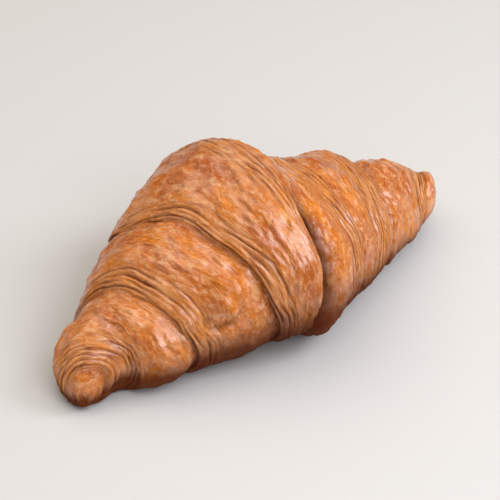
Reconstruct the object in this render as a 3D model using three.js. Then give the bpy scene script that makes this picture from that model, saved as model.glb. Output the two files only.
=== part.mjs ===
// A straight butter croissant, baked as one piece: a sheet of laminated dough rolled up from its
// wide end, so that each turn of the roll lies over the one below like a terrace.
// Millimetres. +X runs from tip to tip, +Z is up, and z = 0 is the flat that the baking tray left.
// The dough was rolled from the +Y side over the top to the -Y side, where its narrow end is tucked in.
import * as THREE from "three";

// ---- Driving dimensions ----
const LENGTH = 152;
const WIDTH = 82;
const HEIGHT = 57;

// ---- Spindle: the shape that the turns share, before they are fitted to the driving dimensions ----
const HALF_LENGTH = 77;
const BELLY = { x: 1.5, rounding: 5, halfWidth: 40, halfHeight: 30.5 };
const TRAY_SHARE = 0.86; // height of a section's centre, as a share of its half height
const TRAY_ROUNDING = 3.2; // softness of the corner where the side meets the flat
const TRAY_SAG = 0.35; // share of that rounding by which the corner spreads on the tray
const TRAY_REACH = 12; // height above the tray up to which the corner is softened
const NOSE = { radius: 10.7, cap: 9, bluntness: 3 }; // the -X tip, a rounded knob
const ROLLED_END = { radius: 8.8, cap: 2.6, bluntness: 3.2 }; // the +X tip, cut off blunt
const ROLLED_END_LIFT = 4; // how far the +X tip curls up off the tray
const ROLLED_END_SLANT = 0.35; // how far that tip reaches out at its top, per millimetre of height
const ROLLED_END_START = 58; // distance from the middle where that slant begins
const NOSE_BEND = THREE.MathUtils.degToRad(54); // the -X tip curls towards -Y
const NOSE_BEND_START = 56; // distance from the middle where that curl begins

// ---- Edges of the turns, from the -X tip to the +X tip ----
// Each list holds the values at these angles round the roll: 0 is the tray, 90 the +Y side, 180 the top.
const EDGE_ANGLES = [60, 120, 180, 240, 300];
// side: towards which tip the upper turn ends. x: where its edge lies. step: how deep the lower turn
// lies below it. swell: how far the band between this edge and the next one bulges.
const EDGES = [
  {
    name: "knob",
    side: -1,
    x: [-76.6, -76, -74.2, -71.2, -73],
    step: [0.8, 0.8, 1.2, 1.6, 1.6],
    swell: [0.3, 0.5, 1, 1.2, 1],
  },
  {
    name: "second_turn",
    side: -1,
    x: [-60, -56.5, -48, -42.7, -38],
    step: [1.5, 2, 1.4, 1.9, 1.7],
    swell: [1.6, 2.6, 2.2, 1.8, -0.2],
  },
  {
    name: "last_turn_at_nose",
    side: -1,
    x: [-38, -34, -24, -17, -13],
    step: [1.2, 1.9, 1.5, 2.2, 2.2],
    swell: [1.2, 1.2, 1, 2, -0.8],
  },
  {
    name: "last_turn",
    side: 1,
    x: [12, 8.5, 6, 0.8, -3.5],
    step: [0.4, 0.2, 0.6, 5, 5.2],
    swell: [0, -3, -2.8, 0.8, 0.8],
  },
  {
    name: "thin_turn",
    side: 1,
    x: [30, 27.5, 25, 24.5, 21],
    step: [1.2, 1.6, 1.4, 0.9, 0.8],
    swell: [1.6, 1.4, 0.8, 0.8, 0.4],
  },
  {
    name: "shoulder_turn",
    side: 1,
    x: [52, 51, 49.5, 46, 39],
    step: [1.5, 3, 2.6, 1.4, 1.2],
    swell: [1.4, 2.4, 1.6, 0.6, 0.2],
  },
  {
    name: "rolled_lip",
    side: -1,
    x: [75, 75.6, 75.2, 71, 69],
    step: [0.8, 1.4, 1.4, 0.9, 0.8],
    swell: [0.2, 0.3, 0.3, 0.3, 0.2],
  },
];
// Where the dough bulges (height above 0) or sinks on its own: a place, and how far it reaches along the
// roll in millimetres and round it in degrees.
const LUMPS = [
  { x: -60.5, degrees: 130, along: 2.6, round: 35, height: -1.2 },
  { x: -64, degrees: 288, along: 6, round: 30, height: -2.6 },
  { x: -46, degrees: 264, along: 7, round: 34, height: 2.8 },
  { x: -50, degrees: 300, along: 6, round: 20, height: 1 },
  { x: -34, degrees: 110, along: 7, round: 20, height: 3.6 },
  { x: -22, degrees: 126, along: 11, round: 26, height: 1.8 },
  { x: -28.5, degrees: 235, along: 5.5, round: 14, height: 3 },
  { x: -9, degrees: 312, along: 6, round: 15, height: -3.4 },
  { x: 1, degrees: 300, along: 5, round: 16, height: 2.4 },
  { x: 14, degrees: 290, along: 7, round: 16, height: -1.2 },
  { x: 2, degrees: 134, along: 8, round: 16, height: -0.7 },
  { x: 8, degrees: 172, along: 6, round: 26, height: 2 },
  { x: 25, degrees: 155, along: 4.5, round: 30, height: -1.8 },
  { x: 33, degrees: 134, along: 6, round: 24, height: -3 },
  { x: 45, degrees: 155, along: 5, round: 24, height: 1.6 },
  { x: 53.5, degrees: 152, along: 3.2, round: 34, height: -3.2 },
  { x: 61, degrees: 288, along: 8, round: 22, height: 1.2 },
  { x: 72.5, degrees: 156, along: 4, round: 24, height: -3 },
];
const EASING = 0.35; // how much each list eases between its angles, from 0, straight, to 1, smooth
const LIP_ROUNDING = 3.6; // length over which an upper turn rounds down to its edge
const STEP_RECOVERY = 6; // length over which the lower turn rises again

// ---- Mesh ----
const ROWS_PER_BAND = 9; // rows of faces between one edge and the next
const COLUMNS = 48; // faces round the roll

const mix = THREE.MathUtils.lerp;

// The value of a list given at EDGE_ANGLES, eased between them and closed round the tray.
function roundTheRoll(values, degrees) {
  const turn = EDGE_ANGLES.length;
  const at = (index) => EDGE_ANGLES[((index % turn) + turn) % turn] + 360 * Math.floor(index / turn);
  let first = -1;
  while (at(first + 1) <= degrees) first += 1;
  const share = (degrees - at(first)) / (at(first + 1) - at(first));
  const eased = mix(share, THREE.MathUtils.smoothstep(share, 0, 1), EASING);
  const valueAt = (index) => values[((index % turn) + turn) % turn];
  return mix(valueAt(first), valueAt(first + 1), eased);
}

// The tip that a place belongs to.
const tipAt = (x) => (x < BELLY.x ? NOSE : ROLLED_END);

// 1 along the body, falling to 0 at a tip.
function tipCap(x) {
  const tip = tipAt(x);
  const into = Math.max(0, (Math.abs(x) - (HALF_LENGTH - tip.cap)) / tip.cap);
  return Math.pow(Math.max(0, 1 - Math.pow(into, tip.bluntness)), 1 / tip.bluntness);
}

// Falls from full at the belly to the tip's radius, in two nearly straight tapers.
function taper(x, full) {
  const tip = tipAt(x);
  const run = (distance) => Math.hypot(distance, BELLY.rounding) - BELLY.rounding;
  const whole = HALF_LENGTH - tip.cap + (tip === NOSE ? BELLY.x : -BELLY.x);
  return full - ((full - tip.radius) * run(x - BELLY.x)) / run(whole);
}

// How far the lumps raise or sink the surface at x, at an angle round the roll.
function lumpHeight(x, degrees) {
  let height = 0;
  for (const lump of LUMPS) {
    const turned = THREE.MathUtils.euclideanModulo(degrees - lump.degrees + 180, 360) - 180;
    height += lump.height * Math.exp(-(((x - lump.x) / lump.along) ** 2) - (turned / lump.round) ** 2);
  }
  return height;
}

// How far the surface stands out from the spindle at x: bulging bands, with a step down at each edge.
function relief(x, degrees) {
  const places = EDGES.map((edge) => roundTheRoll(edge.x, degrees));
  let height = lumpHeight(x, degrees);
  EDGES.forEach((edge, index) => {
    const beyond = (x - places[index]) * edge.side;
    const step = roundTheRoll(edge.step, degrees);
    if (beyond >= 0) height -= step * Math.exp(-beyond / STEP_RECOVERY);
    else if (beyond > -LIP_ROUNDING) height -= step * (1 - Math.sqrt(1 - (1 + beyond / LIP_ROUNDING) ** 2));
    const next = index + 1 < places.length ? places[index + 1] : HALF_LENGTH;
    const across = (x - places[index]) / (next - places[index]);
    if (across > 0 && across < 1) height += roundTheRoll(edge.swell, degrees) * Math.sin(Math.PI * across);
  });
  return height;
}

// The height of a point once the tray holds it up: nothing lies below z = 0, and the corner is soft.
function settleOnTray(free) {
  const soft = (free + Math.hypot(free, TRAY_ROUNDING)) / 2 - TRAY_ROUNDING * TRAY_SAG;
  return Math.max(0, mix(soft, free, THREE.MathUtils.smoothstep(free, 0, TRAY_REACH)));
}

// The surface at x, at an angle round the roll, before the nose is bent.
function surfacePoint(x, degrees) {
  const cap = tipCap(x);
  const height = relief(x, degrees);
  const halfHeight = taper(x, BELLY.halfHeight);
  const halfWidth = taper(x, BELLY.halfWidth);
  const lift = ROLLED_END_LIFT * Math.max(0, x / HALF_LENGTH) ** 2;
  const angle = THREE.MathUtils.degToRad(degrees);
  const y = Math.sin(angle) * Math.max(0, halfWidth + height) * cap;
  const aboveCentre = -Math.cos(angle) * Math.max(0, halfHeight + height) * cap;
  const slant = ROLLED_END_SLANT * THREE.MathUtils.smoothstep(x, ROLLED_END_START, HALF_LENGTH) * aboveCentre;
  const free = halfHeight * TRAY_SHARE + lift + aboveCentre;
  return new THREE.Vector3(x + slant, y, settleOnTray(free));
}

// Curls the -X tip towards -Y about an upright axis, keeping its length.
function bendNose(point) {
  const past = -NOSE_BEND_START - point.x;
  if (past <= 0) return point;
  const radius = (HALF_LENGTH - NOSE_BEND_START) / NOSE_BEND;
  const turned = past / radius;
  const fromAxis = radius + point.y;
  point.x = -NOSE_BEND_START - Math.sin(turned) * fromAxis;
  point.y = Math.cos(turned) * fromAxis - radius;
  return point;
}

// The x of each row of vertices at an angle: the rows run along the edges, so that every step is crisp.
function rowPlaces(degrees) {
  const places = [-HALF_LENGTH];
  const knots = [-HALF_LENGTH, ...EDGES.map((edge) => roundTheRoll(edge.x, degrees)), HALF_LENGTH];
  for (let band = 0; band + 1 < knots.length; band += 1) {
    for (let row = 1; row <= ROWS_PER_BAND; row += 1) {
      const share = row / ROWS_PER_BAND;
      const dense = (1 - Math.cos(Math.PI * share)) / 2;
      places.push(mix(knots[band], knots[band + 1], dense));
    }
  }
  return places;
}

// Stretches the loaf to the driving dimensions and stands it on z = 0, centred on its box.
function fitToSize(geometry) {
  geometry.computeBoundingBox();
  const centre = geometry.boundingBox.getCenter(new THREE.Vector3());
  const size = geometry.boundingBox.getSize(new THREE.Vector3());
  geometry.translate(-centre.x, -centre.y, -geometry.boundingBox.min.z);
  geometry.scale(LENGTH / size.x, WIDTH / size.y, HEIGHT / size.z);
  geometry.computeVertexNormals();
  return geometry;
}

// One closed skin: rings round the roll, joined by faces, with a single vertex at each tip.
function croissantGeometry() {
  const columns = [];
  for (let column = 0; column < COLUMNS; column += 1) {
    const degrees = (360 * column) / COLUMNS;
    columns.push(rowPlaces(degrees).map((x) => bendNose(surfacePoint(x, degrees))));
  }
  const last = columns[0].length - 1;
  const positions = [...columns[0][0].toArray(), ...columns[0][last].toArray()];
  for (const column of columns) {
    for (const point of column.slice(1, last)) positions.push(...point.toArray());
  }
  const inner = last - 1;
  const at = (column, row) => 2 + (column % COLUMNS) * inner + (row - 1);
  const faces = [];
  for (let column = 0; column < COLUMNS; column += 1) {
    faces.push(0, at(column + 1, 1), at(column, 1));
    for (let row = 1; row < inner; row += 1) {
      faces.push(at(column, row), at(column + 1, row), at(column + 1, row + 1));
      faces.push(at(column, row), at(column + 1, row + 1), at(column, row + 1));
    }
    faces.push(1, at(column, inner), at(column + 1, inner));
  }
  const geometry = new THREE.BufferGeometry();
  geometry.setAttribute("position", new THREE.Float32BufferAttribute(positions, 3));
  geometry.setIndex(faces);
  return fitToSize(geometry);
}

function crust() {
  return new THREE.MeshStandardMaterial({ color: 0xc17a42, roughness: 0.45, metalness: 0 });
}

const croissant = new THREE.Mesh(croissantGeometry(), crust());
croissant.name = "croissant";

const part = new THREE.Group();
part.add(croissant);

export default part;
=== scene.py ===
import math

import bmesh
import bpy
import numpy as np
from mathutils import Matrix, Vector, noise


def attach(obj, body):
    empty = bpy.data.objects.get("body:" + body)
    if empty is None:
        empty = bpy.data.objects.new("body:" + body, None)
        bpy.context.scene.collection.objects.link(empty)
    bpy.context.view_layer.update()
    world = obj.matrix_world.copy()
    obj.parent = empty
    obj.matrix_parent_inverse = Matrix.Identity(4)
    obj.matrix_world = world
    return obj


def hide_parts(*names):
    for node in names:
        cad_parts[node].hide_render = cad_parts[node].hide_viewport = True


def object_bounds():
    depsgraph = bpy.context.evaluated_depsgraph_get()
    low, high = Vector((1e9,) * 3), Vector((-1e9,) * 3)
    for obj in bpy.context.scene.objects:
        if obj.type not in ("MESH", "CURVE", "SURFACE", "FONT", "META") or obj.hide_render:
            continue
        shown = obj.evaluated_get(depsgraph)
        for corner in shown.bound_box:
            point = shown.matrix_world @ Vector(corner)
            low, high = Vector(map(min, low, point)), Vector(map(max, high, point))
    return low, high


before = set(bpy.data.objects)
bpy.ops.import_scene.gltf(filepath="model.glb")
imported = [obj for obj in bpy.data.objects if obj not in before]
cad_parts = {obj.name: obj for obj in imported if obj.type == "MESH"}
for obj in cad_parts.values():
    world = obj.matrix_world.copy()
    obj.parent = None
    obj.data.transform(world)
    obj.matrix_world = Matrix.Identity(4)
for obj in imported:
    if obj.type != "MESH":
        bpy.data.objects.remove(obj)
cad_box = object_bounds()

# A straight butter croissant. The crust is one mesh. It starts as a plain spun spindle, and is then moved
# point by point: first into the rolled turns, then into the layers, blisters and puckers of the skin.
# Lengths are in millimetres here and become metres when the crust is fitted to the frame's box.
# x runs along the roll, from the curled nose below 0 to the rolled end above it.
# Angles go round the roll in degrees: 0 is the tray, 90 the far side, 180 the top, 270 the near side.
MM = 0.001
LENGTH, WIDTH, HEIGHT = ((high - low) / MM for low, high in zip(*cad_box))

# ---- The spindle that the turns share ----
HALF_LENGTH = LENGTH / 2 + 1  # a little over half, because the nose curls back
HALF_WIDTH = 0.488 * WIDTH  # a little under half, because the turns stand out from it
HALF_HEIGHT = 0.535 * HEIGHT  # a little over half, because the tray flattens its foot
BELLY_X = 1.5  # where the roll is thickest
BELLY_ROUNDING = 5.0  # how softly its two tapers meet there
TRAY_SHARE = 0.86  # height of a section's centre, as a share of its half height
TRAY_ROUNDING = 3.2  # size of the soft corner where a side meets the tray
TRAY_SAG = 0.35  # how far that corner sinks, as a share of its size
TRAY_REACH = 12.0  # height at which the tray no longer shapes the dough
# A tip's radius, the length over which it closes, and how blunt it is; 2 would be round.
NOSE = {"radius": 10.7, "cap": 9.0, "bluntness": 3.0}
ROLLED_END = {"radius": 8.8, "cap": 2.6, "bluntness": 3.2}
ROLLED_END_LIFT = 4.0  # how far the rolled end stays up off the tray
ROLLED_END_SLANT = 0.35  # how far it reaches out at its top, per millimetre of height
ROLLED_END_START = 58.0  # the x at which that slant begins
NOSE_BEND = math.radians(54)  # how far the nose curls towards the near side
NOSE_BEND_START = 56.0  # how far from the middle the curl begins

# ---- The edges of the turns, from the nose to the rolled end, each at these angles ----
ANGLES = (60, 120, 180, 240, 300)
# side: towards which tip the upper turn ends. x: where its edge lies. step: how far the lower turn lies
# below it. swell: how far the skin bulges from this edge to the next. layers: how wide a strip of the
# upper turn shows its cut layers beside the edge; below 0, of the lower turn.
KNOB = {
    "side": -1,
    "x": (-76.6, -76.0, -74.2, -71.2, -73.0),
    "step": (0.8, 0.8, 1.2, 1.6, 1.6),
    "swell": (0.3, 0.5, 1.0, 1.2, 1.0),
    "layers": (9, 11, 13, 15, 19),
}
SECOND_TURN = {
    "side": -1,
    "x": (-60, -56.5, -48, -42.7, -38),
    "step": (1.5, 2.0, 1.4, 1.9, 1.7),
    "swell": (1.6, 2.6, 2.2, 1.8, -0.2),
    "layers": (7, 9, 10, 11, 11),
}
LAST_TURN_AT_NOSE = {
    "side": -1,
    "x": (-38, -34, -24, -17, -13),
    "step": (1.2, 1.9, 1.5, 2.2, 2.2),
    "swell": (1.2, 1.2, 1.0, 2.0, -0.8),
    "layers": (7, 7, 8, 9, 10),
}
LAST_TURN = {
    "side": 1,
    "x": (12, 8.5, 6.0, 0.8, -3.5),
    "step": (0.4, 0.2, 0.6, 5.0, 5.2),
    "swell": (0.0, -3.0, -2.8, 0.8, 0.8),
    "layers": (9, 12, 12, 3, 2),
}
THIN_TURN = {
    "side": 1,
    "x": (30, 27.5, 25, 24.5, 21),
    "step": (1.2, 1.6, 1.4, 0.9, 0.8),
    "swell": (1.6, 1.4, 0.8, 0.8, 0.4),
    "layers": (8, 10, 12, 13, 12),
}
SHOULDER_TURN = {
    "side": 1,
    "x": (52, 51, 49.5, 46, 39),
    "step": (1.5, 3.0, 2.6, 1.4, 1.2),
    "swell": (1.4, 2.4, 1.6, 0.6, 0.2),
    "layers": (8, 12, 16, 20, 16),
}
ROLLED_LIP = {
    "side": -1,
    "x": (75, 75.6, 75.2, 71.0, 69.0),
    "step": (0.8, 1.4, 1.4, 0.9, 0.8),
    "swell": (0.2, 0.3, 0.3, 0.3, 0.2),
    "layers": (-6, -7, -10, -13, -10),
}
TURNS = (KNOB, SECOND_TURN, LAST_TURN_AT_NOSE, LAST_TURN, THIN_TURN, SHOULDER_TURN, ROLLED_LIP)
EASING = 0.35  # how much the values in such a list ease in and out of each angle
EDGE_STRAY = 1.0  # how far an edge strays from its smooth path
EDGE_STRAY_SIZE = (1, 0.7, 0.7)  # how long one stray is, as a share of the roll's radius
EDGE_STRAY_OCTAVES = 3
TIP_CALM = 12.0  # length at each tip over which the strays fade out

# ---- Where the dough bulges or sinks on its own ----
# Each is a place, how far it reaches along and round the roll, its height, and how crisp its rim is.
LUMPS = (
    {"x": -66, "angle": 122, "along": 4, "round": 36, "height": 0.3, "crisp": 1},
    {"x": -60.5, "angle": 130, "along": 2.6, "round": 35, "height": -1.2, "crisp": 1},
    {"x": -46, "angle": 264, "along": 7, "round": 34, "height": 2.8, "crisp": 1.3},
    {"x": -64, "angle": 288, "along": 6, "round": 30, "height": -2.6, "crisp": 1},
    {"x": -50, "angle": 300, "along": 6, "round": 20, "height": 1.0, "crisp": 1},
    {"x": -34, "angle": 110, "along": 7, "round": 20, "height": 3.6, "crisp": 1},
    {"x": -22, "angle": 126, "along": 11, "round": 26, "height": 1.8, "crisp": 1},
    {"x": 2, "angle": 134, "along": 8, "round": 16, "height": -0.7, "crisp": 1},
    {"x": 8, "angle": 172, "along": 6, "round": 26, "height": 2.0, "crisp": 1},
    {"x": 25, "angle": 155, "along": 4.5, "round": 30, "height": -1.8, "crisp": 1},
    {"x": 33, "angle": 134, "along": 6, "round": 24, "height": -3.0, "crisp": 1},
    {"x": 45, "angle": 155, "along": 5, "round": 24, "height": 1.6, "crisp": 1},
    {"x": 53.5, "angle": 152, "along": 3.2, "round": 34, "height": -3.2, "crisp": 1},
    {"x": 61, "angle": 288, "along": 8, "round": 22, "height": 1.2, "crisp": 1},
    {"x": 72.5, "angle": 156, "along": 4, "round": 24, "height": -3.0, "crisp": 1},
    {"x": -28.5, "angle": 235, "along": 5.5, "round": 14, "height": 3.0, "crisp": 2},
    {"x": -9, "angle": 312, "along": 6, "round": 15, "height": -3.4, "crisp": 1},
    {"x": 1, "angle": 300, "along": 5, "round": 16, "height": 2.4, "crisp": 1},
    {"x": 14, "angle": 290, "along": 7, "round": 16, "height": -1.2, "crisp": 1},
)
# The two hollows that hem in the big blister on the middle turn; painted shade makes them browner than the
# skin round them.
HOLLOWS = (
    {"x": -35.5, "angle": 247, "along": 2.0, "round": 7, "height": -1.2, "crisp": 1},
    {"x": -31, "angle": 255, "along": 4.0, "round": 4, "height": -2.0, "crisp": 1},
)

# ---- How two turns meet at an edge ----
LIP_ROUNDING = 3.6  # width of the rounded rim of the upper turn
STEP_RECOVERY = 6.0  # length over which the lower turn swells up again
LIP_OVERHANG = 0.5  # how far the rim leans out over the groove below it
OVERHANG_STEP = 2.0  # height of a step whose rim leans out all the way
# Where the rim leans out most, past the edge, and over what width; the groove's foot draws back under it.
LEANS = (
    {"place": -0.9, "width": 1.1, "share": 1.0},
    {"place": 0.5, "width": 0.8, "share": -0.4},
)
CREVICE_STEP = 3.5  # height of a step whose crevice gets the darkest painted shade
CREVICE_WIDTH = 1.2  # width of a crevice's painted shade beside the lowest step
CREVICE_WIDENING = 0.9  # how much wider it is per millimetre of step
CREVICE_ON_RIM = 0.8  # width of its painted shade on the rim above it
CREVICE_HOLLOW = 3.0  # depth of a hollow whose painted shade is as dark as it gets

# ---- The cut layers beside each edge ----
LAYER_PITCH = 1.8  # one layer of dough and butter, risen
LAYER_DEPTH = 0.75
LAYER_STRAY = 1.1  # how far their lines stray, in layers
GROOVE_SIDES = (0.3, 0.5)  # width of a groove's side towards the edge and of the one away from it, in layers
GROOVE_SHARPNESS = 1.2
GROOVE_STRENGTH = 0.62  # a groove's usual depth, as a share of the deepest
GROOVE_VARIETY = 1.3  # how much that changes along a groove
FAINTEST_GROOVE = 0.05
STRIP_START = (-0.3, 0.6)  # distances from the edge between which the layers begin
STRIP_FADE_START = 0.6  # share of a strip's width at which they begin to fade
STRIP_FADE_BEYOND = 2.5  # how far beyond that width the last one runs
GROOVES_APART = 9.7  # how far apart two grooves' noise is
EDGES_APART = 31  # how far apart two edges' noise is

# ---- The skin between them ----
BLISTER_HEIGHT = 0.6
BLISTER_RIM = (0.0, 0.4)  # heights of the noise between which a blister rises
PUCKER_HEIGHT = 0.45
UNEVEN_HEIGHT = 0.6
CALM_ON_LAYERS = 0.6  # how much of the blisters the strips of layers lose
CALM_ON_TRAY = 0.75  # how much of all this the face on the tray loses
CALM_TRAY_HEIGHT = 3.0  # height over the tray at which none of it is lost
CALM_TIP = 0.3  # share of a tip's full radius inside which the skin grows smooth
UNDERSIDE_SHADE_REACH = (0.27, 0.58)  # shares of the roll's height between which the painted shade on its base fades out

# ---- The noise that breaks all of it up ----
# How long one swell is along the dough and then both ways across the roll, its seed, and its finer octaves.
LAYER_STRAYS = {"size": (12, 26, 26), "seed": 21, "octaves": 3}
GROOVE_CHANGES = {"size": (1, 12, 12), "seed": 5, "octaves": 1}
BLISTERS = {"size": (5.0, 9, 9), "seed": 3, "octaves": 2}
PUCKERS = {"size": (2.2, 4.2, 4.2), "seed": 4, "octaves": 3}
UNEVENNESS = {"size": (16, 22, 22), "seed": 8, "octaves": 2}
SEEDS_APART = 17.31
OCTAVE_SOFTNESS = 1.0
OCTAVE_SHRINK = 2.1  # how many times finer each octave is

# ---- The mesh ----
ROW_COUNTS = (40, 56, 72, 72, 64, 64, 72, 38)  # rings from the nose to the first edge, then edge to edge
COLUMNS = 204
TIP_CROWDING = 1.7  # how much closer the rings come at a tip
EDGE_CROWDING = 0.4  # how much closer they come at an edge


def linear(hex_colour):
    """A sRGB hex colour as a linear one with alpha."""
    channels = [int(hex_colour[i : i + 2], 16) / 255 for i in (0, 2, 4)]
    return tuple(c / 12.92 if c <= 0.04045 else ((c + 0.055) / 1.055) ** 2.4 for c in channels) + (1.0,)


def smooth(values, low, high):
    """0 below low, 1 above high and an eased slope between them."""
    share = np.clip((values - low) / (high - low), 0, 1)
    return share * share * (3 - 2 * share)


def around(values, degrees):
    """A list given at ANGLES, eased between them and closed round the tray."""
    angles = np.array([ANGLES[-1] - 360, *ANGLES, ANGLES[0] + 360], float)
    closed = np.array([values[-1], *values, values[0]], float)
    turned = np.mod(degrees, 360)
    first = np.clip(np.searchsorted(angles, turned, side="right") - 1, 0, len(ANGLES))
    share = (turned - angles[first]) / (angles[first + 1] - angles[first])
    eased = share + (smooth(share, 0, 1) - share) * EASING
    return closed[first] + (closed[first + 1] - closed[first]) * eased


def dough_noise(points, size, seed, octaves):
    """Smooth random heights, about -1 to 1, over an array of points. size is the length of one swell along
    each of the points' three axes, in the points' own unit."""
    shifted = (points / np.array(size) + seed * SEEDS_APART).reshape(-1, 3).tolist()
    heights = [noise.fractal(place, OCTAVE_SOFTNESS, OCTAVE_SHRINK, octaves) for place in shifted]
    return np.array(heights).reshape(points.shape[:-1])


# ---- The spun blank ----
def rolled_blank(rows):
    """A plain closed spindle from x = -1 to x = 1, spun round a line of rows + 1 points."""
    mesh = bmesh.new()
    tips = [mesh.verts.new((x, 0, 0)) for x in (-1, 1)]
    line = mesh.edges.new(tips)
    bmesh.ops.subdivide_edges(mesh, edges=[line], cuts=rows - 1)
    for vert in mesh.verts:
        if vert not in tips:
            vert.co.z = -1
    outline = mesh.verts[:] + mesh.edges[:]
    turn = {"cent": (0, 0, 0), "axis": (1, 0, 0), "angle": 2 * math.pi, "steps": COLUMNS}
    bmesh.ops.spin(mesh, geom=outline, use_merge=True, **turn)
    well_under_a_ring = 0.1 / rows
    bmesh.ops.remove_doubles(mesh, verts=mesh.verts, dist=well_under_a_ring)
    bmesh.ops.recalc_face_normals(mesh, faces=mesh.faces)
    return mesh


# ---- The rolled turns ----
def edge_paths(degrees):
    """Where each edge lies at each angle: its smooth path, with the small strays of real dough."""
    turned = np.radians(degrees)
    circle = np.stack([np.zeros_like(turned), np.cos(turned), np.sin(turned)], axis=-1)
    paths = []
    for number, turn in enumerate(TURNS):
        stray = dough_noise(circle, EDGE_STRAY_SIZE, number + 1, EDGE_STRAY_OCTAVES)
        path = around(turn["x"], degrees)
        calm = np.clip((HALF_LENGTH - np.abs(path)) / TIP_CALM, 0, 1)
        paths.append(path + stray * calm * EDGE_STRAY)
    return np.array(paths)


def ring_places(paths):
    """The x of every point, ring by ring. The rings follow the edges, and crowd there and at the tips."""
    ends = np.full((1, paths.shape[1]), HALF_LENGTH)
    knots = np.concatenate([-ends, paths, ends])
    rings = [knots[:1]]
    for band, count in enumerate(ROW_COUNTS):
        share = np.arange(1, count + 1)[:, None] / count
        if band == 0:
            share = share**TIP_CROWDING
        elif band == len(ROW_COUNTS) - 1:
            share = 1 - (1 - share) ** TIP_CROWDING
        else:
            share = (1 - EDGE_CROWDING) * share + EDGE_CROWDING * smooth(share, 0, 1)
        rings.append(knots[band] + (knots[band + 1] - knots[band]) * share)
    return np.concatenate(rings)


def tip_values(x, key):
    """The nose's value on the nose's side of the belly, and the rolled end's beyond it."""
    return np.where(x < BELLY_X, NOSE[key], ROLLED_END[key])


def tip_cap(x):
    """1 along the body, falling to 0 at a tip."""
    cap = tip_values(x, "cap")
    bluntness = tip_values(x, "bluntness")
    into = np.clip((np.abs(x) - (HALF_LENGTH - cap)) / cap, 0, 1)
    return np.clip(1 - into**bluntness, 0, 1) ** (1 / bluntness)


def taper(x, full):
    """Falls from full at the belly to the tip's radius, in two nearly straight tapers."""
    run = np.hypot(x - BELLY_X, BELLY_ROUNDING) - BELLY_ROUNDING
    whole = HALF_LENGTH - tip_values(x, "cap") + np.where(x < BELLY_X, BELLY_X, -BELLY_X)
    whole_run = np.hypot(whole, BELLY_ROUNDING) - BELLY_ROUNDING
    return full - (full - tip_values(x, "radius")) * run / whole_run


def lump_share(lump, x, degrees):
    """1 in the middle of a lump, falling to 0 round it."""
    turned = (degrees - lump["angle"] + 180) % 360 - 180
    spread = ((x - lump["x"]) / lump["along"]) ** 2 + (turned / lump["round"]) ** 2
    return np.exp(-(spread ** lump["crisp"]))


def past_edge(turn, path, x):
    """How far each point lies past a turn's edge, out on the lower turn; below 0, on the upper one."""
    return (x - path) * turn["side"]


def turn_relief(x, degrees, paths):
    """How far the skin stands out from the spindle: bulging turns, with a step down at each edge."""
    height = np.zeros_like(x)
    for number, turn in enumerate(TURNS):
        beyond = past_edge(turn, paths[number], x)
        step = around(turn["step"], degrees)
        below = -step * np.exp(-np.maximum(beyond, 0) / STEP_RECOVERY)
        onto_lip = np.clip(1 + beyond / LIP_ROUNDING, 0, 1)
        lip = -step * (1 - np.sqrt(1 - onto_lip**2))
        height += np.where(beyond >= 0, below, lip)
        after = paths[number + 1] if number + 1 < len(TURNS) else HALF_LENGTH
        across = np.clip((x - paths[number]) / (after - paths[number]), 0, 1)
        height += around(turn["swell"], degrees) * np.sin(math.pi * across)
    for lump in LUMPS + HOLLOWS:
        height += lump["height"] * lump_share(lump, x, degrees)
    return height


def crevices(x, degrees, paths):
    """1 deep in the groove beside each edge and in the two hollows, falling to 0 a few millimetres away:
    where painted shade darkens the crust.
    """
    depth = np.zeros_like(x)
    for number, turn in enumerate(TURNS):
        beyond = past_edge(turn, paths[number], x)
        step = around(turn["step"], degrees)
        reach = np.clip(step / CREVICE_STEP, 0, 1)
        width = np.where(beyond > 0, CREVICE_WIDTH + CREVICE_WIDENING * step, CREVICE_ON_RIM)
        depth = np.maximum(depth, reach * np.exp(-((beyond / width) ** 2)))
    for hollow in HOLLOWS:
        reach = -hollow["height"] / CREVICE_HOLLOW
        depth = np.maximum(depth, reach * lump_share(hollow, x, degrees))
    return depth


def lean_lips(x, degrees, paths):
    """Leans each lip out over its groove, so that the groove runs in under it."""
    leaned = x.copy()
    for number, turn in enumerate(TURNS):
        beyond = past_edge(turn, paths[number], x)
        reach = np.clip(around(turn["step"], degrees) / OVERHANG_STEP, 0, 1)
        lean = np.zeros_like(x)
        for part in LEANS:
            lean += part["share"] * np.exp(-(((beyond - part["place"]) / part["width"]) ** 2))
        leaned += turn["side"] * reach * LIP_OVERHANG * lean
    return leaned


def settle_on_tray(free):
    """Heights once the tray holds the dough up: nothing lies below it, and the corner is soft."""
    soft = (free + np.hypot(free, TRAY_ROUNDING)) / 2 - TRAY_ROUNDING * TRAY_SAG
    return np.maximum(0, soft + (free - soft) * smooth(free, 0, TRAY_REACH))


def curl_nose(points):
    """Curls the nose towards the near side about an upright axis, keeping its length."""
    radius = (HALF_LENGTH - NOSE_BEND_START) / NOSE_BEND
    past = np.maximum(0, -NOSE_BEND_START - points[..., 0])
    from_axis = radius + points[..., 1]
    curled = points.copy()
    curled[..., 0] = np.where(past > 0, -NOSE_BEND_START - np.sin(past / radius) * from_axis, points[..., 0])
    curled[..., 1] = np.where(past > 0, np.cos(past / radius) * from_axis - radius, points[..., 1])
    return curled


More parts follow.
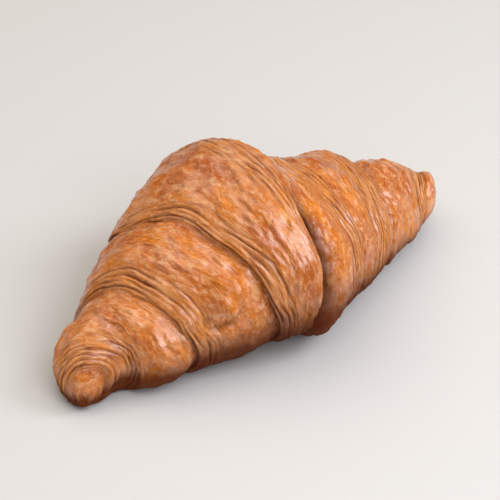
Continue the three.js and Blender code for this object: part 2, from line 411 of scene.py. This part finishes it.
def rolled_dough(x, degrees, paths):
    """The croissant's big shape, as an array of points ring by ring."""
    relief = turn_relief(x, degrees, paths)
    cap = tip_cap(x)
    half_height = taper(x, HALF_HEIGHT)
    turned = np.radians(degrees)
    y = np.sin(turned) * np.maximum(0, taper(x, HALF_WIDTH) + relief) * cap
    lift = ROLLED_END_LIFT * np.maximum(0, x / HALF_LENGTH) ** 2
    above_centre = -np.cos(turned) * np.maximum(0, half_height + relief) * cap
    slant = ROLLED_END_SLANT * smooth(x, ROLLED_END_START, HALF_LENGTH) * above_centre
    reach = lean_lips(x, degrees, paths) + slant
    height = settle_on_tray(half_height * TRAY_SHARE + lift + above_centre)
    return curl_nose(np.stack([reach, y, height], axis=-1))


# ---- The skin's relief ----
def outward(points):
    """The direction straight out of the skin at every point."""
    along = np.gradient(points, axis=0)
    round_roll = np.roll(points, -1, axis=1) - np.roll(points, 1, axis=1)
    normal = np.cross(round_roll, along)
    return normal / (np.linalg.norm(normal, axis=-1, keepdims=True) + 1e-9)


def along_skin(points):
    """How far each point lies along the skin, measured from the nose."""
    steps = np.linalg.norm(np.diff(points, axis=0), axis=-1)
    return np.concatenate([np.zeros((1, points.shape[1])), np.cumsum(steps, axis=0)])


def dough_flow(along, x, degrees):
    """Coordinates that run with the dough: the first is the same all round a ring, and so all along an edge
    of a turn; the other two go round the roll."""
    radius = tip_cap(x) * (taper(x, HALF_WIDTH) + taper(x, HALF_HEIGHT)) / 2
    turned = np.radians(degrees)
    ring = np.broadcast_to(along.mean(axis=1, keepdims=True), along.shape)
    return np.stack([ring, radius * np.cos(turned), radius * np.sin(turned)], axis=-1)


def strip_share(inward, width):
    """1 within the strip of cut layers beside an edge, falling to 0 at both of its sides."""
    begun = smooth(inward, *STRIP_START)
    return begun * (1 - smooth(inward, width * STRIP_FADE_START, width + STRIP_FADE_BEYOND))


def grooves_inward(inward, number, flow, stray):
    """The depth of one edge's parallel grooves, from 0 to 1. Each gets fainter and deeper along its way."""
    phase = inward / LAYER_PITCH + stray * LAYER_STRAY
    line = np.round(phase)
    off_line = phase - line
    side_to_edge, side_away = GROOVE_SIDES
    off_share = np.where(off_line > 0, off_line / side_away, -off_line / side_to_edge)
    profile = np.clip(1 - off_share, 0, 1) ** GROOVE_SHARPNESS
    line_place = np.stack([line * GROOVES_APART + number * EDGES_APART, flow[..., 1], flow[..., 2]], axis=-1)
    strength = GROOVE_STRENGTH + GROOVE_VARIETY * dough_noise(line_place, **GROOVE_CHANGES)
    return profile * np.clip(strength, FAINTEST_GROOVE, 1)


def layer_grooves(along, flow, degrees):
    """The fine grooves between the cut layers beside all the edges: their depth, and the strips they fill."""
    stray = dough_noise(flow, **LAYER_STRAYS)
    grooves = np.zeros(flow.shape[:-1])
    strips = np.zeros(flow.shape[:-1])
    edge_row = 0
    for number, turn in enumerate(TURNS):
        edge_row += ROW_COUNTS[number]
        width = around(turn["layers"], degrees)
        inward = (along[edge_row] - along) * turn["side"] * np.sign(width)
        shown = strip_share(inward, np.abs(width))
        grooves = np.maximum(grooves, grooves_inward(inward, number, flow, stray) * shown)
        strips = np.maximum(strips, shown)
    return grooves, strips


def crust_relief(flow, grooves, strips):
    """Height of the skin over the big shape: layers, blisters and puckers."""
    blister = smooth(dough_noise(flow, **BLISTERS), *BLISTER_RIM)
    pucker = dough_noise(flow, **PUCKERS)
    uneven = UNEVEN_HEIGHT * dough_noise(flow, **UNEVENNESS)
    swollen = BLISTER_HEIGHT * blister + PUCKER_HEIGHT * pucker
    return uneven + swollen * (1 - CALM_ON_LAYERS * strips) - LAYER_DEPTH * grooves


def fit_to_frame(points):
    """Stands the crust on the tray and stretches it to the frame's box, in metres."""
    low = points.min(axis=(0, 1))
    high = points.max(axis=(0, 1))
    low[2] = 0
    frame_low = np.array(cad_box[0])
    frame_high = np.array(cad_box[1])
    return frame_low + (points - low) * (frame_high - frame_low) / (high - low)


def baked_skin():
    """Every point of the finished crust, ring by ring, and what its material reads at each of them."""
    column_degrees = np.arange(COLUMNS) * 360 / COLUMNS
    paths = edge_paths(column_degrees)
    x = ring_places(paths)
    degrees = np.broadcast_to(column_degrees, x.shape)
    big = rolled_dough(x, degrees, paths)
    along = along_skin(big)
    flow = dough_flow(along, x, degrees)
    grooves, strips = layer_grooves(along, flow, degrees)
    on_tray = 1 - smooth(big[..., 2], 0.0, CALM_TRAY_HEIGHT)
    calm_tip = smooth(tip_cap(x), 0, CALM_TIP)
    relief = crust_relief(flow, grooves, strips) * (1 - CALM_ON_TRAY * on_tray) * calm_tip
    shaped = big + outward(big) * relief[..., None]
    shaped[..., 2] = np.maximum(shaped[..., 2], 0)
    height_share = big[..., 2] / (2 * taper(x, HALF_HEIGHT))
    fields = {
        "dough_flow": flow,
        "groove": grooves,
        "layer_strip": strips,
        "crevice": crevices(x, degrees, paths),
        # painted shade: the crust grows darker towards the tray
        "underside_shade": 1 - smooth(height_share, *UNDERSIDE_SHADE_REACH),
    }
    return fit_to_frame(shaped), fields


# ---- The crust ----
def set_attribute(mesh, name, values):
    """Stores one number, or one vector, at every vertex."""
    kind, key = ("FLOAT_VECTOR", "vector") if values.ndim == 2 else ("FLOAT", "value")
    attribute = mesh.attributes.new(name, kind, "POINT")
    attribute.data.foreach_set(key, values.astype(np.float32).ravel())


def crust_piece():
    """The blank with each of its vertices moved to its place in the baked skin."""
    rows = sum(ROW_COUNTS)
    blank = rolled_blank(rows)
    points, fields = baked_skin()
    row_of = [round((vert.co.x + 1) / 2 * rows) for vert in blank.verts]
    turned = [math.degrees(math.atan2(vert.co.y, -vert.co.z)) for vert in blank.verts]
    column_of = [round(angle / 360 * COLUMNS) % COLUMNS for angle in turned]
    for vert, row, column in zip(blank.verts, row_of, column_of):
        vert.co = points[row, column]
    mesh = bpy.data.meshes.new("crust")
    blank.to_mesh(mesh)
    blank.free()
    mesh.shade_smooth()
    for name, values in fields.items():
        set_attribute(mesh, name, values[row_of, column_of])
    piece = bpy.data.objects.new("crust", mesh)
    bpy.context.scene.collection.objects.link(piece)
    return piece


# ---- Materials ----
# Spots in the baked skin: how long they are along the croissant and round it, in millimetres, and how
# many finer octaves and how much distortion break them up.
SPOTS = {
    "patches": (7, 12, 5, 0.6),
    "islands": (1.6, 3.0, 4, 0.6),
    "wash": (4.5, 8.0, 4, 0.8),
    "streaks": (0.9, 7.0, 3, 0.8),
    "speckle": (0.7, 1.2, 3, 0.4),
}
# How deep the finest of them go, in millimetres.
FINE_RELIEF = {"islands": 0.55, "streaks": 0.3, "speckle": 0.3}
# The places of a Mix node's colour sockets.
MIX_SHARE = 0
MIX_UNDER = 6
MIX_OVER = 7
MIX_RESULT = 2


def add_node(tree, kind, inputs, output=0, **settings):
    """Adds a node with its settings, fed with plain values or other nodes' outputs. Gives one output."""
    node = tree.nodes.new(kind)
    for name, value in settings.items():
        setattr(node, name, value)
    for name, value in inputs.items():
        if isinstance(value, bpy.types.NodeSocket):
            tree.links.new(value, node.inputs[name])
        else:
            node.inputs[name].default_value = value
    return node.outputs[output]


def skin_masks(tree):
    """The mask of each kind of place in the skin: what the crust stores at its vertices, and the spots."""
    flow = add_node(tree, "ShaderNodeAttribute", {}, "Vector", attribute_name="dough_flow")
    masks = {}
    for name in ("groove", "layer_strip", "crevice", "underside_shade"):
        masks[name] = add_node(tree, "ShaderNodeAttribute", {}, "Fac", attribute_name=name)
    for name, (along, round_roll, detail, distortion) in SPOTS.items():
        scale = (1 / along, 1 / round_roll, 1 / round_roll)
        stretched = add_node(tree, "ShaderNodeMapping", {"Vector": flow, "Scale": scale})
        settings = {"Vector": stretched, "Scale": 1.0, "Detail": detail, "Distortion": distortion}
        masks[name] = add_node(tree, "ShaderNodeTexNoise", settings, "Fac")
    return masks


def browned_colour_with_painted_light(tree, masks):
    """The crust's colour: a base, then coats one over the other; the last three are painted shade, and the
    wash and pale islands coats carry painted sheen and highlight.
    """
    on_layers = {"Value": masks["layer_strip"], "To Min": 0.2, "To Max": 0.75}
    on_layers = add_node(tree, "ShaderNodeMapRange", on_layers)
    colour = linear("B25614")
    # The mask that each coat follows, between which of its values it comes in, how strong it is, its colour.
    for name, low, high, strength, tone in (
        ("patches", 0.34, 0.62, 0.8, "D67E28"),
        # islands: darker in the crackle's low spots, paler on its raised ones; the paler tone is lighter
        # crust and partly a painted highlight
        ("islands", 0.45, 0.38, 0.42, "9C4A0E"),
        # a faint pink where the egg wash pools with gloss: a painted sheen
        ("wash", 0.5, 0.6, 0.2, "E0A070"),
        ("islands", 0.54, 0.62, 0.45, "E4AE7C"),
        ("speckle", 0.5, 0.66, 0.35, "E2A46C"),
        ("layer_strip", 0.0, 1.0, 0.45, "D68C45"),
        ("streaks", 0.52, 0.66, on_layers, "8A3A0E"),
        # the last three: painted shade in the layers' grooves, in the crevices and hollows, and low on the
        # roll
        ("groove", 0.05, 0.85, 0.9, "5E2004"),
        ("crevice", 0.15, 0.95, 0.9, "431704"),
        ("underside_shade", 0.0, 1.0, 0.92, "5A2206"),
    ):
        limits = {"Value": masks[name], "From Min": low, "From Max": high, "To Max": strength}
        share = add_node(tree, "ShaderNodeMapRange", limits)
        coat = {MIX_SHARE: share, MIX_UNDER: colour, MIX_OVER: linear(tone)}
        colour = add_node(tree, "ShaderNodeMix", coat, MIX_RESULT, data_type="RGBA")
    return colour


def egg_gloss(tree, masks):
    """Where the egg wash lies: in pools on the open skin, and not in the grooves or under the roll."""
    pools = {"Value": masks["wash"], "From Min": 0.32, "From Max": 0.54}
    pools = add_node(tree, "ShaderNodeMapRange", pools)
    bare = masks["groove"]
    for name in ("crevice", "underside_shade"):
        bare = add_node(tree, "ShaderNodeMath", {0: bare, 1: masks[name]}, operation="MAXIMUM")
    open_skin = add_node(tree, "ShaderNodeMath", {0: 1.0, 1: bare}, operation="SUBTRACT")
    return add_node(tree, "ShaderNodeMath", {0: pools, 1: open_skin}, operation="MULTIPLY")


def fine_relief(tree, masks):
    """The crackle of the finest spots, as one normal."""
    before = {"Normal": add_node(tree, "ShaderNodeNewGeometry", {}, "Normal")}
    for name, depth in FINE_RELIEF.items():
        crackle = {"Height": masks[name], "Distance": depth * MM, "Strength": 1.0, **before}
        before = {"Normal": add_node(tree, "ShaderNodeBump", crackle)}
    return before["Normal"]


# Laminated dough brushed with egg and baked. The wash browns it and sets as a tight clear gloss over the
# blisters; the cut layers beside each edge are matt and paler on their ridges, with painted shade in their
# grooves.
# Painted shade also darkens the crevices, the hollows by the big blister and the base of the roll, and a
# faint pink where the wash pools is a painted sheen.
def egg_washed_crust():
    material = bpy.data.materials.new("egg_washed_crust")
    material.use_nodes = True
    tree = material.node_tree
    shader = tree.nodes["Principled BSDF"]
    masks = skin_masks(tree)
    gloss = egg_gloss(tree, masks)
    rough = add_node(tree, "ShaderNodeMapRange", {"Value": gloss, "To Min": 0.75, "To Max": 0.34})
    tree.links.new(browned_colour_with_painted_light(tree, masks), shader.inputs["Base Color"])
    tree.links.new(rough, shader.inputs["Roughness"])
    tree.links.new(gloss, shader.inputs["Coat Weight"])
    tree.links.new(fine_relief(tree, masks), shader.inputs["Normal"])
    shader.inputs["Specular IOR Level"].default_value = 0.12
    shader.inputs["Coat Roughness"].default_value = 0.25
    shader.inputs["Coat IOR"].default_value = 1.7
    return material


# Uncoated paper scatters the light evenly, so the floor shows soft shadows and no reflections.
def pale_matt_paper():
    material = bpy.data.materials.new("pale_matt_paper")
    material.use_nodes = True
    shader = material.node_tree.nodes["Principled BSDF"]
    shader.inputs["Base Color"].default_value = linear("CBC8C3")
    shader.inputs["Roughness"].default_value = 0.9
    return material


crust = crust_piece()
crust.data.materials.append(egg_washed_crust())
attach(crust, "root")
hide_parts("croissant")

# ---- Studio ----
# Softboxes: the direction of each from the croissant, its distance and its width in metres, its watts and
# its colour. The first lights the whole top; the other two make the gloss on the near side.
SOFTBOXES = {
    "overhead_key": ((-0.1, 0.35, 1.0), 1.0, 1.3, 6.9, "FFF4E6"),
    "gloss_front": ((-0.15, -0.62, 0.77), 0.8, 0.6, 4.3, "F0F4FF"),
    "gloss_side": ((0.55, -0.47, 0.69), 0.8, 0.4, 3.5, "F0F4FF"),
}
SURROUND = "F2F2F0"
SURROUND_STRENGTH = 0.3
FLOOR_HALF_SIZE = 3  # metres
CAMERA_ANGLE = math.radians(11)
CAMERA_AZIMUTH = math.radians(-39)
CAMERA_ELEVATION = math.radians(38)
CAMERA_TARGET = (0.7, -0.6, 21.3)
CAMERA_DISTANCE = 824


def studio_floor():
    """A wide flat sheet at the tray's height."""
    mesh = bmesh.new()
    bmesh.ops.create_grid(mesh, x_segments=1, y_segments=1, size=FLOOR_HALF_SIZE)
    data = bpy.data.meshes.new("floor")
    mesh.to_mesh(data)
    mesh.free()
    data.materials.append(pale_matt_paper())
    floor = bpy.data.objects.new("floor", data)
    bpy.context.scene.collection.objects.link(floor)


def softbox(name, direction, distance, width, watts, colour):
    """A square light that faces the croissant."""
    light = bpy.data.lights.new(name, "AREA")
    light.size = width
    light.energy = watts
    light.color = linear(colour)[:3]
    box = bpy.data.objects.new(name, light)
    away = Vector(direction).normalized()
    box.location = away * distance
    box.rotation_euler = away.to_track_quat("Z", "Y").to_euler()
    bpy.context.scene.collection.objects.link(box)


def surround():
    """A dim, even room."""
    world = bpy.data.worlds.new("studio")
    world.use_nodes = True
    background = world.node_tree.nodes["Background"]
    background.inputs["Color"].default_value = linear(SURROUND)
    background.inputs["Strength"].default_value = SURROUND_STRENGTH
    bpy.context.scene.world = world


def camera():
    """A long lens that looks down on the near side, from the nose's end."""
    data = bpy.data.cameras.new("camera")
    data.angle = CAMERA_ANGLE
    view = bpy.data.objects.new("camera", data)
    level = Vector((math.sin(CAMERA_AZIMUTH), -math.cos(CAMERA_AZIMUTH), 0))
    back = level * math.cos(CAMERA_ELEVATION) + Vector((0, 0, math.sin(CAMERA_ELEVATION)))
    view.location = Vector(CAMERA_TARGET) * MM + back * CAMERA_DISTANCE * MM
    view.rotation_euler = back.to_track_quat("Z", "Y").to_euler()
    bpy.context.scene.collection.objects.link(view)
    bpy.context.scene.camera = view


studio_floor()
for box_name, box_settings in SOFTBOXES.items():
    softbox(box_name, *box_settings)
surround()
bpy.context.scene.view_settings.view_transform = "Standard"
camera()
